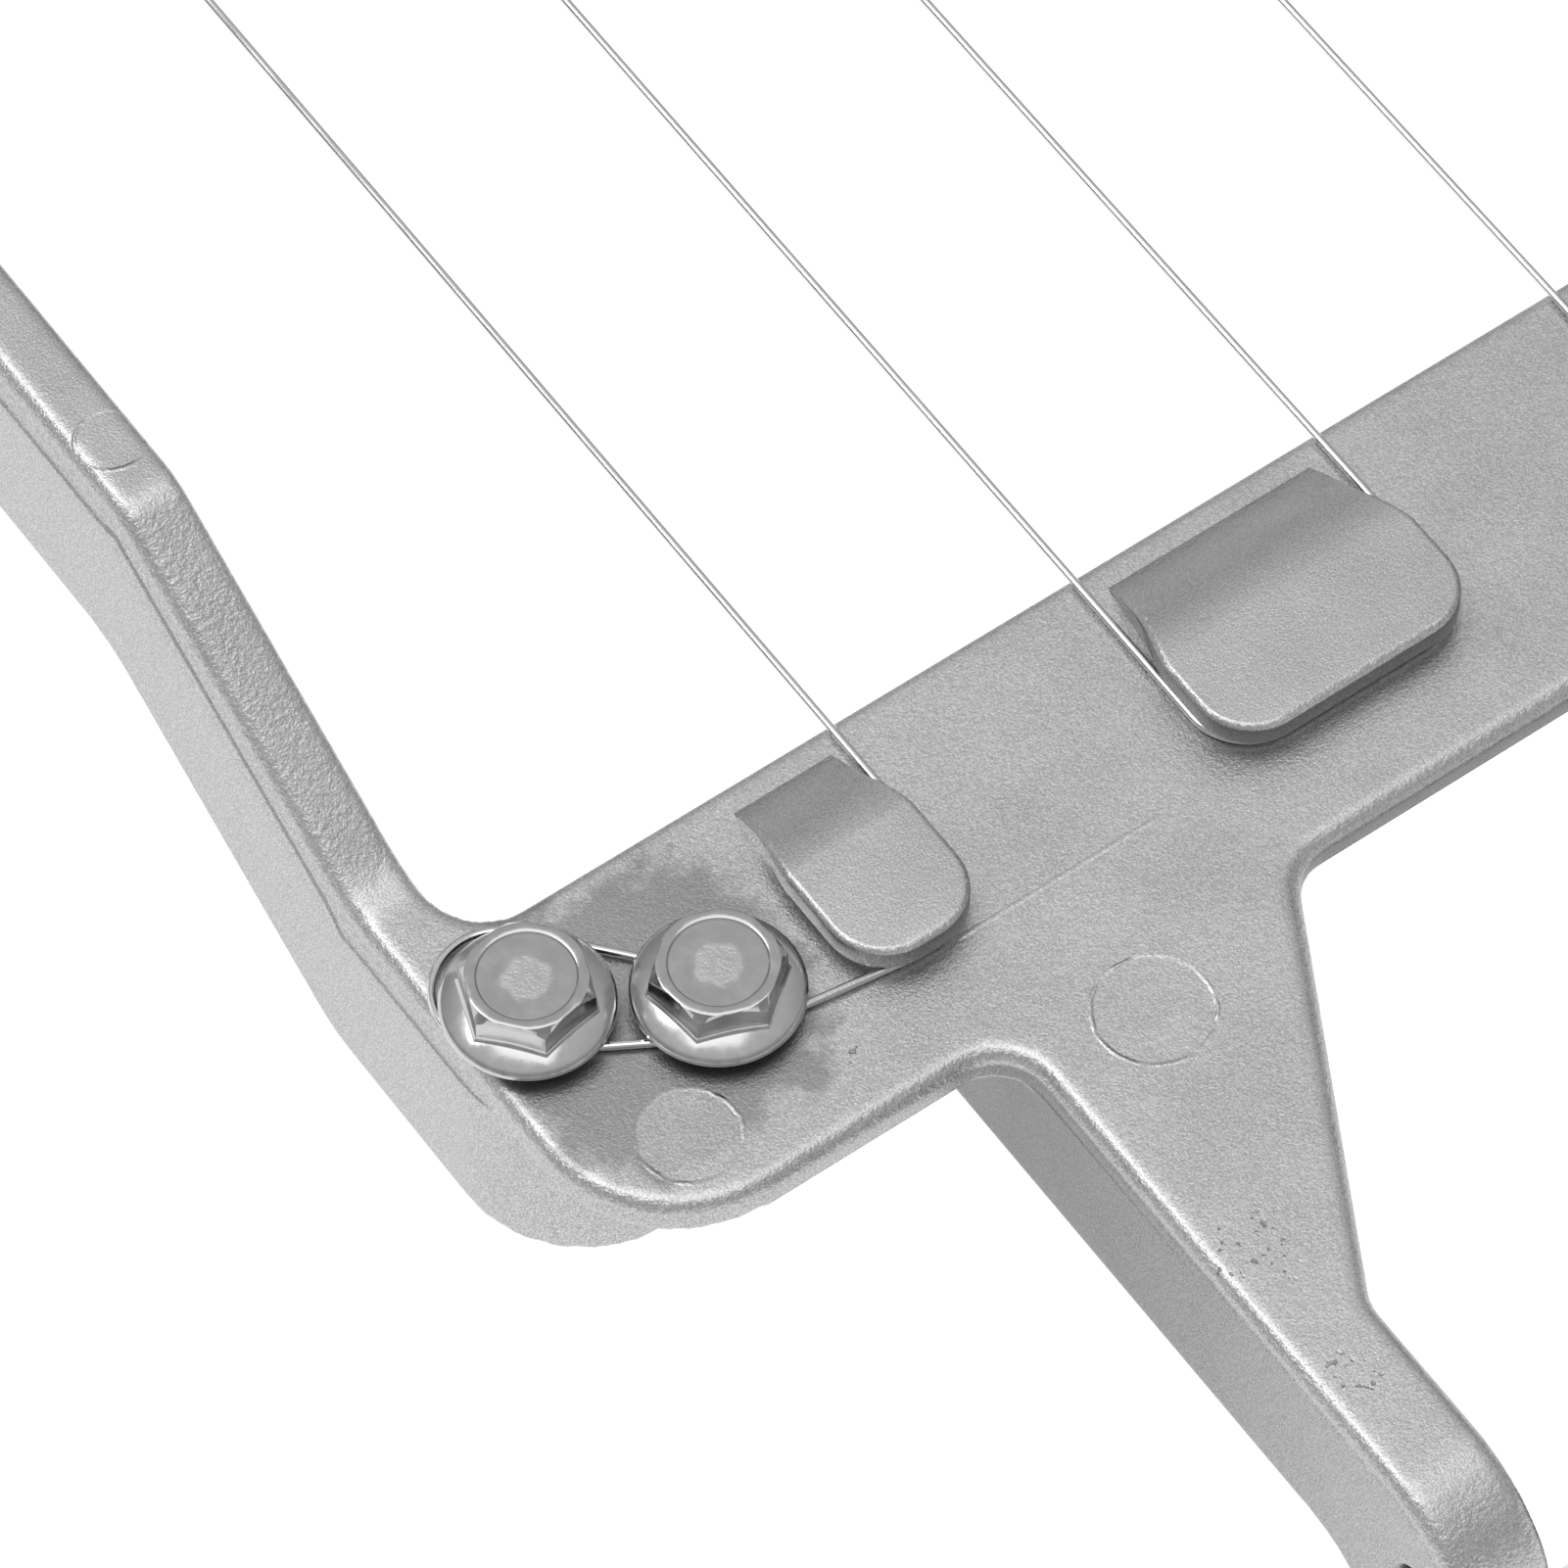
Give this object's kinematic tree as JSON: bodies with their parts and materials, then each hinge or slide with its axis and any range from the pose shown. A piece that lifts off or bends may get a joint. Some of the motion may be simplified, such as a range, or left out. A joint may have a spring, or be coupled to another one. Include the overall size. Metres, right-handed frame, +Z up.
{
  "type": "wire cheese slicer",
  "caption": "Bench slicer for block cheese: a hinged cast arm strung with one long cutting wire, folded back from its slotted bed.",
  "frame": {"origin": "on the table, under the middle of the slicer with its arm folded back", "axes": "+X along the hinge to the right, +Y from the folded-back arm towards the bed, +Z up"},
  "size_m": [0.226, 0.608, 0.054],
  "materials": {
    "cast_aluminium": "bead-blasted die casting",
    "stainless_wire": "bright drawn",
    "plated_steel": "bright plated",
    "dark_steel": "black oxide",
    "sheet_steel": "satin",
    "black_plastic": "fine texture",
    "black_rubber": "matte",
    "white_nylon": "natural"
  },
  "bodies": {
    "base": {"base_casting": "cast_aluminium", "bottom_cover": "sheet_steel", "foot_front_left": "black_rubber", "foot_front_right": "black_rubber", "foot_rear_left": "black_rubber", "foot_rear_right": "black_rubber", "foot_screw_front_left": "plated_steel", "foot_screw_front_right": "plated_steel", "foot_screw_rear_left": "plated_steel", "foot_screw_rear_right": "plated_steel", "stop_bumper_left": "black_rubber", "stop_bumper_right": "black_rubber", "hinge_rod": "plated_steel", "hinge_cap_left": "plated_steel", "hinge_cap_right": "plated_steel"},
    "arm": {"arm_frame": "cast_aluminium", "cutting_wire": "stainless_wire", "clamp_bolt_outer_left": "plated_steel", "clamp_bolt_inner_left": "plated_steel", "clamp_bolt_outer_right": "plated_steel", "clamp_bolt_inner_right": "plated_steel", "grip_rod": "plated_steel", "grip_sleeve": "black_plastic", "grip_screw_left": "dark_steel", "grip_screw_right": "dark_steel", "hinge_bush_left": "white_nylon", "hinge_bush_right": "white_nylon"}
  },
  "joints": [
    {"name": "arm_hinge", "type": "hinge", "parent": "base", "child": "arm", "pos_m": [0, 0.02005, 0.042], "axis": [-1, 0, 0], "range_deg": [0, 180]}
  ]
}
